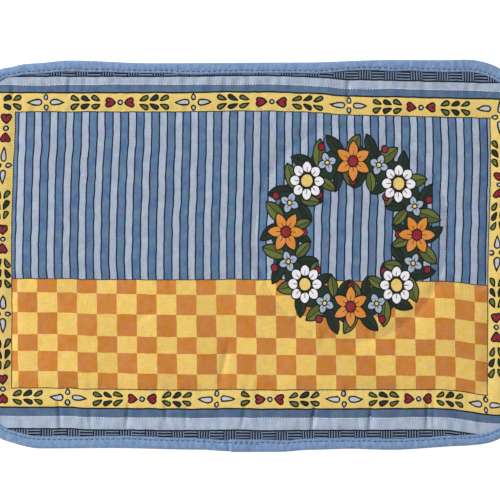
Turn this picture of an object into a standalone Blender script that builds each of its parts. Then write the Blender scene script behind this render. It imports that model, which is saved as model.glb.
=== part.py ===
"""Quilted cotton placemat with a bound edge, lying flat on its backing.

The frame has +X along the mat's length, +Y along its width and +Z up. Its origin is on the table,
under the middle of the mat's box. Sizes are in millimetres until a point is placed in the scene.
"""

import math
from functools import partial

import bmesh
import bpy

MM = 0.001

# The mat's plain outline, before the small waves of its sewn edge.
MAT_LENGTH = 461.0
MAT_WIDTH = 304.0
CORNER_RADIUS = 65.0
STRAIGHT_X = MAT_LENGTH / 2 - CORNER_RADIUS
STRAIGHT_Y = MAT_WIDTH / 2 - CORNER_RADIUS

# The even grid in the middle of the panel. Rings of faces join it to the outline.
CORE_X = 195.0
CORE_TOP = 121.5
CORE_BOTTOM = -112.0
CORE_CELL = 9.0
CORNER_CELLS = 7

# Quilting lines: two rectangles, one line across the panel and one round the wreath.
BAND_LINE_X = 208.6
BAND_LINE_TOP = 134.8
BAND_LINE_BOTTOM = -126.2
FRAME_LINE_X = 187.3
FRAME_LINE_TOP = 113.4
FRAME_LINE_BOTTOM = -104.9
CLOTH_LINE_Y = -18.5
CLOTH_LINE_CELL = 4.5
WREATH_X = 79.0
WREATH_Y = 19.0
WREATH_HALF_LENGTH = 76.0
WREATH_HALF_WIDTH = 86.0

# Heights above the table. The sandwich is thin at its stitches and swells between them.
STITCHED_TOP = 2.5
SWOLLEN_TOP = 4.0
PRESSED_TOP = 3.0
PRESSED_BASE = 1.3
STITCH_REACH = 4.5
PRESSED_REACH = 13.0
UNEVEN_SHARE = 0.07
UNEVEN_X = 27.0
UNEVEN_Y = 21.0

# Distances in from the outline.
PANEL_EDGE = 2.2
UNDER_BINDING_TOP = 8.9
UNDER_BINDING_BASE = 9.1
PANEL_FOOT = 10.6
CORE_INSET = MAT_WIDTH / 2 - CORE_TOP
MARGIN_RINGS = 6

# The panel under the binding, from its face round to its underside: distance in, height.
PANEL_EDGE_SECTION = (
    (UNDER_BINDING_TOP, PRESSED_TOP),
    (PANEL_EDGE, PRESSED_TOP),
    (PANEL_EDGE, PRESSED_BASE),
    (UNDER_BINDING_BASE, PRESSED_BASE),
    (PANEL_FOOT, 0.0),
)

# Outward waves of the outline: place along the side, and how far out.
WAVES_TOP = (
    (-198, 2.5),
    (-187, 0.0),
    (-170, -0.7),
    (-143, 1.3),
    (-80, -0.9),
    (38, -0.4),
    (109, 1.9),
    (148, 1.6),
    (195, 3.5),
)
WAVES_BOTTOM = (
    (-198, -0.6),
    (-187, -2.2),
    (-166, -0.8),
    (-111, -1.1),
    (-40, 0.0),
    (-18, 1.1),
    (-15, 2.1),
    (22, 2.2),
    (46, 0.2),
    (77, -0.5),
    (109, 0.0),
    (172, -3.2),
    (195, -0.8),
)
WAVES_LEFT = ((-90, 0.4), (-40, -0.8), (10, 0.5), (55, -0.5), (90, 0.9))
WAVES_RIGHT = ((-90, -0.6), (-50, 0.7), (0, -0.4), (45, 0.8), (90, 0.2))

# Puckers where the binding gathers the panel: middle x and y, half length, half width, slant in
# degrees from +Y, and depth.
PUCKERS = (
    (-150.0, -137.0, 9.0, 4.0, 8.0, 0.5),
    (-97.0, -134.0, 10.0, 4.0, -6.0, 0.5),
    (-66.0, -134.0, 9.0, 4.0, 4.0, 0.4),
    (48.0, -132.0, 11.0, 4.5, 10.0, 0.5),
    (95.0, -128.0, 13.0, 4.5, -32.0, 0.7),
    (140.0, -129.0, 13.0, 5.0, 6.0, 0.9),
    (-143.0, 138.0, 8.0, 4.0, -5.0, 0.5),
    (76.5, 138.0, 10.0, 5.0, 6.0, 0.9),
    (-21.0, -85.0, 18.0, 5.0, 14.0, 0.5),
)

# The folded strip that binds the edge, in its cross-section: distance in from the outline, height.
BINDING_SECTION = (
    (8.8, 0.0),
    (2.0, 0.0),
    (0.6, 0.7),
    (0.0, 2.1),
    (0.6, 3.5),
    (2.0, 4.2),
    (5.2, 4.4),
    (8.3, 4.0),
    (8.4, 3.3),
    (1.9, 3.3),
    (1.3, 2.6),
    (1.3, 1.6),
    (1.9, 1.0),
    (8.8, 1.0),
)
BINDING_CROWN = 3.5
BINDING_RIPPLE = 0.12
RIPPLE_STATIONS = 5.0
WELD_DISTANCE = 1e-6

SHARP_DEGREES = 50

# Colour and roughness.
PRINTED_COTTON = ((0.56, 0.62, 0.70), 0.9)
BLUE_COTTON = ((0.22, 0.31, 0.54), 0.85)


def clear_scene():
    """Starts from an empty scene."""
    for old in list(bpy.data.objects):
        bpy.data.objects.remove(old, do_unlink=True)


def smooth_step(low, high, value):
    share = min(max((value - low) / (high - low), 0.0), 1.0)
    return share * share * (3 - 2 * share)


def from_table(rows, place):
    """The value at a place, eased from each row of the table to the next."""
    for (low, before), (high, after) in zip(rows, rows[1:]):
        if place <= high:
            return before + (after - before) * smooth_step(low, high, place)
    return rows[-1][1]


def even(low, high, count):
    """Stations from low up to, but not including, high."""
    return [low + (high - low) * step / count for step in range(count)]


def stations_x():
    """Grid lines of the core along the mat, closer where they feed a corner."""
    middle = round(2 * STRAIGHT_X / CORE_CELL)
    return (
        even(-CORE_X, -STRAIGHT_X, CORNER_CELLS)
        + even(-STRAIGHT_X, STRAIGHT_X, middle)
        + even(STRAIGHT_X, CORE_X, CORNER_CELLS)
        + [CORE_X]
    )


def stations_y():
    """Grid lines of the core across the mat, with one on the line where the two fields meet."""
    below = CLOTH_LINE_Y - CLOTH_LINE_CELL
    above = CLOTH_LINE_Y + CLOTH_LINE_CELL
    return (
        even(CORE_BOTTOM, -STRAIGHT_Y, CORNER_CELLS)
        + even(-STRAIGHT_Y, below, round((STRAIGHT_Y + below) / CORE_CELL))
        + even(below, above, 2)
        + even(above, STRAIGHT_Y, round((STRAIGHT_Y - above) / CORE_CELL))
        + even(STRAIGHT_Y, CORE_TOP, CORNER_CELLS)
        + [CORE_TOP]
    )


def outline_of(core_x, core_y):
    """Outline point and outward direction that belong to a point on the rim of the core."""
    reach_y = CORE_TOP if core_y > 0 else -CORE_BOTTOM
    on_end = abs(abs(core_x) - CORE_X) < 1e-3
    if on_end:
        past = max(0.0, (abs(core_y) - STRAIGHT_Y) / (reach_y - STRAIGHT_Y))
        angle = math.radians(45 * past)
    else:
        past = max(0.0, (abs(core_x) - STRAIGHT_X) / (CORE_X - STRAIGHT_X))
        angle = math.radians(90 - 45 * past)
    out_x = math.copysign(math.cos(angle), core_x)
    out_y = math.copysign(math.sin(angle), core_y)
    foot_x = math.copysign(STRAIGHT_X, core_x) if on_end or past else core_x
    foot_y = math.copysign(STRAIGHT_Y, core_y) if past or not on_end else core_y
    x = foot_x + CORNER_RADIUS * out_x
    y = foot_y + CORNER_RADIUS * out_y
    across = from_table(WAVES_TOP if y > 0 else WAVES_BOTTOM, x)
    down = from_table(WAVES_RIGHT if x > 0 else WAVES_LEFT, y)
    turn = smooth_step(0.0, math.pi / 2, angle)
    wave = down + (across - down) * turn
    return (x + wave * out_x, y + wave * out_y), (out_x, out_y)


def rim_points():
    """Points round the core's rim, anticlockwise from its bottom left corner."""
    xs = stations_x()
    ys = stations_y()
    return (
        [(x, ys[0]) for x in xs[:-1]]
        + [(xs[-1], y) for y in ys[:-1]]
        + [(x, ys[-1]) for x in reversed(xs[1:])]
        + [(xs[0], y) for y in reversed(ys[1:])]
    )


def box_middle():
    """Middle of the box round the wavy outline."""
    outline = [outline_of(*rim)[0] for rim in rim_points()]
    xs = [x for x, y in outline]
    ys = [y for x, y in outline]
    return (min(xs) + max(xs)) / 2, (min(ys) + max(ys)) / 2


def inset_point(rim, inset):
    """The place at a set distance in from the outline, facing a point of the core's rim."""
    (x, y), (out_x, out_y) = outline_of(*rim)
    return x - inset * out_x, y - inset * out_y


def to_rectangle(x, y, half_x, bottom, top):
    """Distance from a point to the line of a rectangle."""
    past_x = abs(x) - half_x
    past_y = max(y - top, bottom - y)
    if past_x > 0 and past_y > 0:
        return math.hypot(past_x, past_y)
    return abs(max(past_x, past_y))


def to_wreath(x, y):
    """Signed distance from the quilting line round the wreath, below zero inside it."""
    spread = math.hypot((x - WREATH_X) / WREATH_HALF_LENGTH, (y - WREATH_Y) / WREATH_HALF_WIDTH)
    return (spread - 1) * (WREATH_HALF_LENGTH + WREATH_HALF_WIDTH) / 2


def to_stitches(x, y):
    """Distance to the nearest quilting line."""
    wreath = to_wreath(x, y)
    lines = [
        to_rectangle(x, y, BAND_LINE_X, BAND_LINE_BOTTOM, BAND_LINE_TOP),
        to_rectangle(x, y, FRAME_LINE_X, FRAME_LINE_BOTTOM, FRAME_LINE_TOP),
        abs(wreath),
    ]
    if wreath > 0 and abs(x) < FRAME_LINE_X:
        lines.append(abs(y - CLOTH_LINE_Y))
    return min(lines)


def pucker_depth(x, y):
    """How far the gathers near the binding draw the panel down."""
    depth = 0.0
    for middle_x, middle_y, half_length, half_width, slant, deepest in PUCKERS:
        angle = math.radians(slant)
        across = (x - middle_x) * math.cos(angle) - (y - middle_y) * math.sin(angle)
        along = (x - middle_x) * math.sin(angle) + (y - middle_y) * math.cos(angle)
        fall = (across / half_width) ** 2 + (along / half_length) ** 2
        depth += deepest * math.exp(-fall)
    return depth


def top_height(x, y, inset):
    """Height of the panel's face: swollen between its stitches, pressed flat at the binding."""
    distance = to_stitches(x, y)
    swell = 1 - 1 / (1 + (distance / STITCH_REACH) ** 2)
    uneven = 1 + UNEVEN_SHARE * math.sin(x / UNEVEN_X) * math.sin(y / UNEVEN_Y)
    height = STITCHED_TOP + (SWOLLEN_TOP - STITCHED_TOP) * swell * uneven - pucker_depth(x, y)
    free = smooth_step(UNDER_BINDING_TOP, UNDER_BINDING_TOP + PRESSED_REACH, inset)
    return PRESSED_TOP + (height - PRESSED_TOP) * free


def cotton(name, colour, roughness):
    """A matte cloth material."""
    material = bpy.data.materials.new(name)
    material.use_nodes = True
    surface = material.node_tree.nodes["Principled BSDF"]
    surface.inputs["Base Color"].default_value = (*colour, 1.0)
    surface.inputs["Roughness"].default_value = roughness
    surface.inputs["Metallic"].default_value = 0.0
    return material


def finished_object(name, mesh_builder, material):
    """Turns a finished bmesh into a smooth shaded object."""
    bmesh.ops.recalc_face_normals(mesh_builder, faces=mesh_builder.faces)
    mesh = bpy.data.meshes.new(name)
    mesh_builder.to_mesh(mesh)
    mesh_builder.free()
    mesh.shade_smooth()
    mesh.set_sharp_from_angle(angle=math.radians(SHARP_DEGREES))
    mesh.materials.append(material)
    made = bpy.data.objects.new(name, mesh)
    bpy.context.scene.collection.objects.link(made)
    return made


def grid_index(value, cells):
    """Column or row of a point of a grid that spans -1 to 1."""
    return round((value + 1) / 2 * cells)


def margin_place(rim, share):
    """A place between the core's rim and the foot of the binding, with its height."""
    foot = inset_point(rim, PANEL_FOOT)
    x, y = (core + (end - core) * share for core, end in zip(rim, foot))
    inset = math.dist((x, y), inset_point(rim, 0.0))
    return x, y, top_height(x, y, inset)


def edge_place(rim, inset, height):
    """A place at a set distance in from the outline, at a set height."""
    return (*inset_point(rim, inset), height)


def panel_rings():
    """The rings of the panel from the core out, round its edge and back in underneath."""
    margin = [partial(margin_place, share=step / MARGIN_RINGS) for step in range(1, MARGIN_RINGS + 1)]
    edge = [partial(edge_place, inset=inset, height=height) for inset, height in PANEL_EDGE_SECTION]
    return margin + edge


def grow_rim(bm, rim_layer, ring_place, middle):
    """Adds a ring of faces round the mesh's open rim."""
    rim_edges = [edge for edge in bm.edges if edge.is_boundary]
    grown = bmesh.ops.extrude_edge_only(bm, edges=rim_edges)["geom"]
    for vert in grown:
        if isinstance(vert, bmesh.types.BMVert):
            vert.co = to_scene(*ring_place(vert[rim_layer][:2]), middle)


def make_quilted_panel(middle):
    """Print, wadding and backing quilted together, with the underside flat on the table."""
    xs = stations_x()
    ys = stations_y()
    columns = len(xs) - 1
    rows = len(ys) - 1
    bm = bmesh.new()
    rim_layer = bm.verts.layers.float_vector.new("rim")
    bmesh.ops.create_grid(bm, x_segments=columns, y_segments=rows, size=1.0)
    for vert in bm.verts:
        x = xs[grid_index(vert.co.x, columns)]
        y = ys[grid_index(vert.co.y, rows)]
        vert[rim_layer] = (x, y, 0.0)
        vert.co = to_scene(x, y, top_height(x, y, CORE_INSET), middle)
    for ring_place in panel_rings():
        grow_rim(bm, rim_layer, ring_place, middle)
    base_rim = [edge for edge in bm.edges if edge.is_boundary]
    bmesh.ops.triangle_fill(bm, use_beauty=True, edges=base_rim)
    return finished_object("quilted_panel", bm, cotton("printed_cotton", *PRINTED_COTTON))


def make_edge_binding(middle):
    """The folded strip round the edge, open on its inner side to take the panel."""
    rims = rim_points()
    columns = len(rims)
    rows = len(BINDING_SECTION)
    bm = bmesh.new()
    bmesh.ops.create_grid(bm, x_segments=columns, y_segments=rows, size=1.0)
    for vert in bm.verts:
        column = grid_index(vert.co.x, columns) % columns
        inset, height = BINDING_SECTION[grid_index(vert.co.y, rows) % rows]
        if height >= BINDING_CROWN:
            height += BINDING_RIPPLE * math.sin(column / RIPPLE_STATIONS * math.tau)
        vert.co = to_scene(*inset_point(rims[column], inset), height, middle)
    bmesh.ops.remove_doubles(bm, verts=bm.verts, dist=WELD_DISTANCE)
    return finished_object("edge_binding", bm, cotton("blue_cotton", *BLUE_COTTON))


def to_scene(x, y, z, middle):
    """A point in the scene, in metres, from the middle of the mat's box."""
    return (x - middle[0]) * MM, (y - middle[1]) * MM, z * MM


def main():
    """Builds both pieces round the middle of their box."""
    clear_scene()
    middle = box_middle()
    make_quilted_panel(middle)
    make_edge_binding(middle)


main()
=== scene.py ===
"""Quilted cotton placemat with its print, quilting, folded binding and stitches.

The file is laid out as a Blender add-on. Run as a script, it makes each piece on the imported
model's frame and sets up the stage. Shapes are worked out in millimetres and placed in metres.
"""

import math
from functools import partial

import bmesh
import bpy
from bpy.props import FloatProperty, FloatVectorProperty, PointerProperty
from mathutils import Matrix, Vector, noise
from mathutils.bvhtree import BVHTree


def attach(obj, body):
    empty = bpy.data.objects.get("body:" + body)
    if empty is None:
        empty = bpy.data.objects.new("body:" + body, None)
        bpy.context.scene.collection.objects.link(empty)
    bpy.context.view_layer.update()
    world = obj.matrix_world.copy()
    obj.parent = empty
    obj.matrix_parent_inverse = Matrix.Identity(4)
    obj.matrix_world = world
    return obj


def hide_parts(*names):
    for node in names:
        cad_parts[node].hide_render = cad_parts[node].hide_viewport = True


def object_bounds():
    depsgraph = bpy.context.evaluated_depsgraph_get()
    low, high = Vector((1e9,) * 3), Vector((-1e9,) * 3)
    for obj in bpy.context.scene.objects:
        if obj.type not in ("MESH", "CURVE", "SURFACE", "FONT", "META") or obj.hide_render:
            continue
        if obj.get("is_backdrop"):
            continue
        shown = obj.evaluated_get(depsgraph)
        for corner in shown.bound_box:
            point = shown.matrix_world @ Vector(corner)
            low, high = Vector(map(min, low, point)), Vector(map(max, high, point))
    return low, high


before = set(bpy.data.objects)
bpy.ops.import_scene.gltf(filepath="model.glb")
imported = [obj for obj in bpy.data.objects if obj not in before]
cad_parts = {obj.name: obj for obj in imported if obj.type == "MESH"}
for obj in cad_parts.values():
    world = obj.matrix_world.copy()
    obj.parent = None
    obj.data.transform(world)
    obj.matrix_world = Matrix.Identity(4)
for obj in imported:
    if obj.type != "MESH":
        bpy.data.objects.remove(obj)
CAD_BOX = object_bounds()

bl_info = {
    "name": "Quilted Placemat",
    "version": (1, 0, 0),
    "blender": (4, 5, 0),
    "location": "3D View > Sidebar > Placemat",
    "description": "Makes a quilted cotton placemat with a printed face and a bound edge",
    "category": "Add Mesh",
}

MM = 0.001

# Middle of the mat's box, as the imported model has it.
MIDDLE_X = -0.047
MIDDLE_Y = -0.002

# Plain outline, before the waves of its sewn edge.
MAT_LENGTH = 461.0
MAT_WIDTH = 304.0
CORNER_RADIUS = 65.0
STRAIGHT_X = MAT_LENGTH / 2 - CORNER_RADIUS
STRAIGHT_Y = MAT_WIDTH / 2 - CORNER_RADIUS
CORNER_LENGTH = CORNER_RADIUS * math.pi / 2
QUARTER_LENGTH = STRAIGHT_X + CORNER_LENGTH + STRAIGHT_Y

# The even grid in the middle of the panel.
CORE_X = 195.0
CORE_TOP = 121.5
CORE_BOTTOM = -112.0
CORE_INSET = MAT_WIDTH / 2 - CORE_TOP

# Quilting lines, which follow the printed drawing: two by their distance out from its field, the
# outer one a little further out along the bottom, and the ring round the garland by its reach
# along the mat's length and along its width.
BAND_LINE = 21.3
LOW_BAND_EXTRA = 0.9
FRAME_LINE = 0.1
RING_HALF_LENGTH = 76.0
RING_HALF_WIDTH = 86.0
RING_POINTS = 240

# Heights of the face, from the table.
STITCHED_TOP = 2.5
SWOLLEN_TOP = 4.0
PRESSED_TOP = 3.0
PRESSED_BASE = 1.3
STITCH_REACH = 4.5
PRESSED_REACH = 13.0
UNEVEN_SHARE = 0.07
UNEVEN_X = 27.0
UNEVEN_Y = 21.0

# Distances in from the outline.
PANEL_EDGE = 2.2
UNDER_BINDING_TOP = 8.9
UNDER_BINDING_BASE = 9.1
PANEL_FOOT = 10.6
MARGIN_WIDTH = 20.0

# Small relief that the thread and the gathering give the cloth: the size of its bumps, how far it
# reaches, and how slowly it changes over the mat.
RIPPLE_CELL = 5.0
RIPPLE_REACH = 7.5
RIPPLE_CHANGE = 9000.0
GATHER_CELL = 4.6
GATHER_LENGTH = 16.0
GATHER_REACH = 12.0
GATHER_CHANGE = 40.0
SOFT_CELL = 26.0
TUCK_DEPTH = 0.4
TUCK_REACH = 2.2

# Where the gathers set in under the binding's rim, and their share there.
GATHER_FOOT = (9.8, 13.0)
PRESSED_GATHER = 0.6

# Outward waves of the outline: place along the side, and how far out.
WAVES_TOP = (
    (-198, 4.3), (-187, 1.1), (-170, 0.1), (-143, 2.1), (-80, 0.0), (38, 0.5), (109, 2.5),
    (148, 2.4), (195, 3.6),
)
WAVES_BOTTOM = (
    (-198, 0.3), (-187, -0.9), (-166, -0.4), (-111, -0.7), (-40, 0.6), (-18, 1.8), (-15, 2.4),
    (22, 2.3), (46, 0.7), (77, -0.1), (109, 0.7), (172, -2.5), (195, -0.8),
)
WAVES_LEFT = ((-90, 0.4), (-40, -0.8), (10, 0.5), (55, -0.5), (90, 0.9))
WAVES_RIGHT = ((-90, -0.6), (-50, 0.7), (0, -0.4), (45, 0.8), (90, 0.2))

# Puckers where the binding gathers the panel: middle x and y, half length, half width, slant in
# degrees from +Y, and depth.
PUCKERS = (
    (-150.0, -137.0, 9.0, 4.0, 8.0, 0.5),
    (-97.0, -134.0, 10.0, 4.0, -6.0, 0.5),
    (-66.0, -134.0, 9.0, 4.0, 4.0, 0.4),
    (48.0, -132.0, 11.0, 4.5, 10.0, 0.5),
    (95.0, -128.0, 13.0, 4.5, -32.0, 0.7),
    (140.0, -129.0, 13.0, 5.0, 6.0, 0.9),
    (-143.0, 138.0, 8.0, 4.0, -5.0, 0.5),
    (76.5, 138.0, 10.0, 5.0, 6.0, 0.9),
    (-21.0, -85.0, 18.0, 5.0, 14.0, 0.5),
)

# Sharp folds: upper end, lower end, half width and depth.
CREASES = (
    (-152.3, -108.0, -149.5, -147.0, 1.3, 1.9),
    (-127.6, -114.0, -126.0, -146.0, 1.4, 1.0),
    (-95.6, -110.0, -100.2, -146.0, 1.3, 1.3),
    (-67.4, -106.0, -67.4, -134.0, 1.3, 1.1),
    (-51.5, -114.0, -51.8, -148.0, 1.4, 1.0),
    (-4.0, -114.0, -10.0, -146.0, 1.5, 1.1),
    (51.0, -110.0, 46.5, -148.0, 1.3, 1.9),
    (95.0, -114.0, 92.0, -146.0, 1.3, 1.6),
    (139.0, -106.0, 138.0, -144.0, 1.3, 1.5),
    (143.0, -108.0, 144.0, -144.0, 1.3, 1.2),
    (-188.5, 148.0, -187.5, 118.0, 1.5, 2.0),
    (-142.6, 148.0, -144.4, 122.0, 1.4, 1.1),
    (-131.0, 150.0, -131.6, 126.0, 1.4, 1.0),
    (77.0, 150.0, 76.0, 114.0, 1.4, 1.5),
    (-17.0, -66.0, -26.0, -104.0, 2.2, 0.8),
    (-72.0, -42.0, -92.0, -52.0, 2.4, 0.7),
    (-158.0, -38.0, -140.0, -50.0, 2.6, 0.6),
)

# The folded strip in its cross-section, from the underside round the nose and back inside:
# distance in from the outline, height.
BINDING_SECTION = (
    (9.2, 0.2), (8.9, 0.0), (5.4, 0.0), (2.0, 0.0), (0.95, 0.25), (0.3, 0.95), (0.0, 2.1),
    (0.25, 3.15), (0.85, 3.9), (1.9, 4.3), (3.4, 4.45), (4.8, 4.35), (5.6, 4.2), (6.1, 4.05),
    (6.35, 4.02), (6.85, 4.1), (7.5, 4.1), (8.05, 3.9), (8.38, 3.5), (8.4, 3.2), (7.9, 3.15),
    (1.9, 3.3), (1.3, 2.6), (1.3, 1.6), (1.9, 1.0), (8.7, 1.0), (9.1, 0.7),
)
SECTION_WIDTH = 8.4
SECTION_NOSE = 2.0
SECTION_TOP = 3.14
SECTION_STEP = 1.2
STITCH_ROW = 6.2

# Where the strip's folded end laps its start, and relief of the upper leg.
LAP_X = -16.9
LAP_LENGTH = 11.0
LAP_EASE = 6.0
LAP_RISE = 0.5
GROOVE_DEPTH = 0.8
DENT_WIDTH = 1.1
DENT_DEPTH = 0.12
NEEDLE_HOLE_DEPTH = 0.3
WRINKLE_CELL = 2.6
WRINKLE_LENGTH = 5.0
WRINKLE_RISE = 0.3

# Stitches: how far a row wanders and over what length, from how high the cloth is looked for and
# how the thread sits on it, and the few stitches that double the blue row on the lap.
WHITE_WANDER = 1.2
WHITE_WANDER_CELL = 30.0
BLUE_WANDER = 0.5
BLUE_WANDER_CELL = 14.0
OVER_CLOTH = 30.0
THREAD_LIFT = 0.1
BOBBIN_SINK = 0.15
BACKSTITCHES = 5
BACKSTITCH_APART = 1.3

# Layers of the noise, one for each use, so that no two uses are alike.
SOFT_LAYER = 3.0
WHITE_LAYER = 6.0
BLUE_LAYER = 8.0

# Width of the binding's upper leg: place along the edge, and width.
LEG_TOP = (
    (-300, 9.5), (-196, 8.2), (-170, 8.95), (-146, 8.95), (-129, 9.3), (-109, 8.45), (-68, 8.2),
    (-50, 9.25), (-38, 9.3), (-17, 8.75), (30, 8.75), (54, 9.35), (77, 8.0), (89, 8.0),
    (113, 9.25), (125, 8.8), (140, 9.6), (160, 10.1), (300, 9.5),
)
LEG_BOTTOM = (
    (-300, 9.5), (-158, 9.8), (-135, 9.5), (-100, 9.9), (-52, 9.4), (-38, 9.0), (-19, 9.0),
    (-15, 10.3), (12, 10.0), (30, 9.1), (54, 9.1), (78, 8.6), (92, 9.1), (148, 8.7), (190, 8.4),
    (300, 9.5),
)

# How far the printed drawing slips on the cut panel: down, and sideways.
DROP_TOP = (
    (-60, 0.0), (-10, -0.6), (15, -0.6), (40, 0.2), (54, 0.9), (77, 2.6), (100, 3.0), (148, 4.1),
    (195, 5.0),
)
DROP_BOTTOM = ((-143, -1.0), (-130, 0.0), (-40, 0.6), (-15, 0.1), (7, 0.6), (148, 0.2), (195, 5.5))
SLIP_LEFT = (
    (-110, -1.6), (-30, -1.3), (8, -1.7), (28, -1.45), (47, -0.85), (67, -0.25), (90, 0.9),
    (110, 1.4),
)
SLIP_RIGHT = ((-100, -1.3), (-20, -0.9), (70, 1.1), (110, 0.9))
PRINT_SHIFT_X = 0.2
PRINT_SHIFT_Y = -4.3
PRINT_STEPS = 4

# The printed drawing, from its own middle.
FIELD_X = 187.1
FIELD_Y = 109.2
FIELD_SPLIT = -22.8
SPLIT_HALF = 0.34
STRIPE_START = -184.0
STRIPE_PERIOD = 12.3
STRIPE_LIGHT = 6.1
STRIPE_SWAY = 0.7
SWAY_CELL = (70.0, 34.0, 1.0)
CHECK_X = -183.2
CHECK_WIDTH = 15.62
CHECK_ROWS = (-120.0, -95.7, -80.1, -66.7, -49.4, -33.5)
CHECK_LEAN = 0.015
CHECK_FALL = 0.0085
CHECK_TONES = (0.93, 1.06)
ROW_SHADES = 7
STRIP_X = 214.5
STRIP_Y = 138.55
STRIP_MIDDLE = -2.0
STRIP_PERIOD = 20.54
UPRIGHT_PITCH = 2.05
LEVEL_PITCH = 2.26
STRIP_INK_SHARE = 0.62
STRIP_EDGE_LINE = 1.1
INK_HALF = 0.55
MOTIF_INK_HALF = 0.62

# Bands round the field: where each starts, out from the field's edge, and its dye. None leaves
# the field or the border to show.
BANDS_START = -1.0
BANDS = (
    (BANDS_START, None), (-0.4, "ink"), (0.4, None), (14.3, "ink"), (15.55, "band"),
    (21.3, "light_blue"),
)

# Distances out from the field: where the strip's pattern takes over, where its lines may start,
# where the ramp of bands ends, and where the lower dark band starts to widen and how soon it has.
MID_BAND = 20.0
STRIP_FROM = 22.0
BANDS_END = 32.0
LOW_BAND_FROM = 16.0
LOW_BAND_EASE = 2.0

# The border's pattern has a cross of petals at each even multiple of this, and a dot with two
# hearts at each odd one.
MOTIF_HALF = 58.55

# Places along the border, and in its pattern. The corner at the upper left stays plain.
CORNER_TOP = ((-250.0, 17.0), (-196.5, 17.0))
CORNER_LEFT = ((61.3, -140.35), (96.3, -175.65))
BORDER_LEFT = ((-109.0, 58.55), (-49.5, 0.0), (9.1, -58.55), (66.9, -117.1))
BORDER_RIGHT = ((-60.7, 58.55), (-1.7, 0.0), (104.9, -117.1))
BORDER_TOP = (
    (-161.3, 0.0), (-103.2, 58.55), (-45.4, 117.1), (-19.2, 144.3), (16.3, 175.65),
    (76.8, 234.2), (133.4, 292.75), (191.6, 351.3),
)
BORDER_LOW_LEFT = ((-144.4, 0.0), (-85.9, 58.55), (-27.5, 117.1))
BORDER_LOW_RIGHT = ((14.5, 175.65), (73.0, 234.2), (131.5, 292.75), (184.5, 351.3))

# Stretches of the border: left, right, bottom and top of a box of the drawing, whether the
# stretch runs down, its middle line, and its places.
MOTIF_STRETCHES = (
    (-250.0, -196.5, 109.2, 180.0, False, 116.5, CORNER_TOP),
    (-250.0, -187.1, 82.5, 109.2, True, 194.1, CORNER_LEFT),
    (-250.0, -187.1, 22.5, 82.5, True, 195.1, BORDER_LEFT),
    (-250.0, -187.1, -180.0, 22.5, True, 193.9, BORDER_LEFT),
    (187.8, 250.0, 94.0, 180.0, True, 195.0, BORDER_RIGHT),
    (187.8, 250.0, -98.0, 94.0, True, 193.8, BORDER_RIGHT),
    (-196.5, 250.0, 0.0, 180.0, False, 116.5, BORDER_TOP),
    (-250.0, -7.2, -180.0, 0.0, False, 116.5, BORDER_LOW_LEFT),
    (-7.2, 250.0, -180.0, 0.0, False, 116.5, BORDER_LOW_RIGHT),
)

# Drops of the border: place of the round end along and across from a cross or a dot, turn of the
# tip in degrees, radius, and how far the tip reaches. The pattern mirrors them across its middle.
PETAL = (5.8, 0.0, 0.0, 2.1, 8.3)
SIDE_PETAL = (0.0, 3.7, 90.0, 1.55, 2.7)
HEART = (9.0, 1.7, -161.9, 1.9, 5.47)
LEAF = (5.4, 3.8, 205.0, 1.65, 5.3)
DOT_RADIUS = 1.65

# Pairs of leaves stand in three cells on each side of a dot. The last number keeps them away from
# the other cells.
LEAF_START = 15.2
LEAF_CELL = 8.2
NO_LEAF_THERE = 9.0

# Where blocks of upright lines start in the outer strip: places along it, and in its pattern.
STRIP_TOP = ((-158.8, 0.0), (64.2, 225.94))
STRIP_BOTTOM = ((-165.7, 0.0), (-145.16, 20.54))

# The garland: middle, how much narrower than high it is, and the scalloped bed under its flowers.
GARLAND_X = 79.2
GARLAND_Y = 14.7
GARLAND_SQUEEZE = 0.884
BED_REACH = 57.5
BED_HALF = 11.5
SCALLOPS = 22
SCALLOP_DEPTH = 1.6

# Leaves of the garland: count, turn in degrees, reach, tilt in degrees, half length, half width
# and dye.
GARLAND_LEAVES = (
    (14, 0.0, 71.0, 34.0, 11.5, 5.0, "dark_leaf"),
    (14, 12.86, 69.5, -30.0, 11.5, 5.4, "leaf"),
    (14, 5.0, 44.0, 150.0, 9.0, 3.8, "dark_leaf"),
    (14, 17.86, 45.0, 208.0, 9.0, 4.2, "leaf"),
)
RIB_HALF = 0.34
LEAF_SHADE = 0.72

# Berries: count, turn, reach and radius.
BERRIES = ((8, 22.5, 73.5, 3.0), (8, 0.0, 42.0, 3.0))

# Flowers: count, turn and reach, then the petals' count, reach, radius, tip and dye, and the
# radius and dye of the middle.
FLOWERS = (
    (8, 22.5, 60.0, 4, 4.2, 3.3, 4.4, "light_blue", 2.0, "yellow"),
    (4, 0.0, 58.0, 6, 8.0, 4.4, 8.6, "flower", 4.4, "red"),
    (4, 45.0, 57.5, 8, 10.4, 4.25, 5.0, "white", 5.4, "yellow"),
)
PETAL_CREASE_HALF = 0.3
PETAL_CREASE_END = 0.1

# Size of the wander of hand drawn lines, and how far they stray in the field, the border's motifs
# and the strip.
STRAY_CELL = 11.0
FIELD_STRAY = (1.0, 1.0, 0.0)
MOTIF_STRAY = (2.2, 2.2, 0.0)
STRIP_STRAY = (0.8, 0.8, 0.0)

# Unevenness of dye: its size, the noise's usual range, and how far hue, strength and brightness
# swing.
MOTTLE_CELL = 9.0
BINDING_MOTTLE_CELL = 4.0
NOISE_RANGE = (0.25, 0.75)
BLUE_MOTTLE = (0.02, 0.12, 0.06)
FAINT_MOTTLE = (0.006, 0.05, 0.03)
BINDING_MOTTLE = (0.02, 0.18, 0.12)

# The weave: its depth in metres, its uneven threads by their length in threads and their range,
# what these and the weave add to the relief and the tone, and the tones that they give. The
# uneven threads' tone is their own; the weave's share of the tone is painted shade in its hollows
# and painted light on its raised crossings.
WEAVE_DEPTH = 0.00012
SLUB_LENGTH = 7.0
SLUB_RANGE = (0.55, 1.45)
SLUB_SHARE = 1.4
WEAVE_SHADE_SHARE = 0.06
SLUB_AND_WEAVE_SHADE_TONES = (0.9, 1.1)
PLY_TONES = (0.88, 1.08)

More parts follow.
